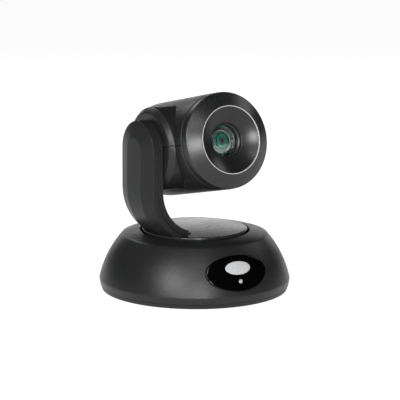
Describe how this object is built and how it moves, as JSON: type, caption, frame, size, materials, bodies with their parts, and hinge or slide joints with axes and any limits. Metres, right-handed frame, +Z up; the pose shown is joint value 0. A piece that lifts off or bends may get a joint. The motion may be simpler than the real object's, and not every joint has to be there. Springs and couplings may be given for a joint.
{
  "type": "pan-tilt-zoom camera",
  "caption": "Desktop pan-tilt-zoom camera with a round tapered base, a turntable with one curved side arm, and a tilting barrel head with a funnel-shaped lens hood.",
  "frame": {"origin": "where the pan axis meets the surface that the feet stand on", "axes": "+Z up along the pan axis; the base's front window faces -Y; +X is to the right of the window seen from the front"},
  "size_m": [0.18, 0.1797, 0.1919],
  "materials": {
    "shell": "fine-textured dark charcoal",
    "disc": "satin dark grey",
    "underside": "fine-textured black",
    "feet": "matt black rubber",
    "window": "gloss black, smoked",
    "badge": "satin silver, blank",
    "light": "clear light pipe, unlit",
    "funnel": "satin black",
    "glass": "coated optical glass",
    "steel": "bright steel",
    "brass": "turned brass",
    "alloy": "cast alloy",
    "acetal": "natural acetal",
    "motor": "black motor cans",
    "black": "black moulded plastic",
    "board": "green circuit board",
    "sensor": "image sensor under glass"
  },
  "bodies": {
    "base": {"base_shell": "shell", "bottom_plate": "underside", "rubber_feet": "feet", "plate_screws": "steel", "tripod_insert": "brass", "front_window": "window", "window_badge": "badge", "status_led": "light", "ir_receiver": "black", "io_panel": "underside", "dc_inlet": "black", "network_jack": "steel", "video_jack": "steel", "control_jack": "black", "selector_body": "underside", "main_board": "board", "board_posts": "brass", "pan_post": "alloy", "pan_bearings": "steel", "pan_motor": "motor"},
    "selector": {"selector_knob": "acetal"},
    "pan_drive": {"pan_pinion": "brass"},
    "pan": {"turntable": "disc", "pan_gear": "acetal", "pan_gear_screws": "steel", "arm_shell": "shell", "arm_cover": "shell", "arm_harness": "black", "arm_screws": "steel", "tilt_bearing": "steel", "tilt_motor": "motor"},
    "tilt_drive": {"tilt_pinion": "brass"},
    "head": {"tilt_gear": "acetal", "tilt_hub": "alloy", "head_upper_shell": "shell", "head_lower_shell": "shell", "head_screws": "steel", "bezel_ring": "shell", "lens_funnel": "funnel", "front_glass": "glass", "lens_retainer": "funnel", "lens_barrel": "funnel", "guide_rods": "steel", "barrel_saddle": "alloy", "zoom_motor": "motor", "focus_motor": "motor", "image_sensor": "sensor", "sensor_board": "board", "head_board": "board"},
    "zoom_group": {"zoom_carriage": "funnel", "zoom_lens": "glass"},
    "focus_group": {"focus_carriage": "funnel", "focus_lens": "glass"}
  },
  "joints": [
    {"name": "pan", "type": "hinge", "parent": "base", "child": "pan", "pos_m": [0, 0, 0.0587], "axis": [0, 0, 1], "range_deg": [-159.3, 150.7]},
    {"name": "pan_pinion_spin", "type": "hinge", "parent": "base", "child": "pan_drive", "pos_m": [-0.03126, 0.01805, 0.024], "axis": [0, 0, 1], "range_deg": [-760, 800]},
    {"name": "tilt", "type": "hinge", "parent": "pan", "child": "head", "pos_m": [0, 0, 0.1367], "axis": [-0.9972, -0.075, 0], "range_deg": [-42.3, 77.7]},
    {"name": "tilt_pinion_spin", "type": "hinge", "parent": "pan", "child": "tilt_drive", "pos_m": [-0.05883, -0.00442, 0.1126], "axis": [-0.9972, -0.075, 0], "range_deg": [-240, 130]},
    {"name": "zoom", "type": "slide", "parent": "head", "child": "zoom_group", "axis": [0.0733, -0.9743, 0.213], "range_m": [-0.01, 0.016]},
    {"name": "focus", "type": "slide", "parent": "head", "child": "focus_group", "axis": [0.0733, -0.9743, 0.213], "range_m": [-0.007, 0.005]},
    {"name": "selector_turn", "type": "hinge", "parent": "base", "child": "selector", "pos_m": [0.0095, 0.0732, 0.0275], "axis": [0, 1, 0], "range_deg": [0, 324]}
  ],
  "couplings": [
    {"joint": "pan_pinion_spin", "follows": "pan", "ratio": -5},
    {"joint": "tilt_pinion_spin", "follows": "tilt", "ratio": -3}
  ]
}
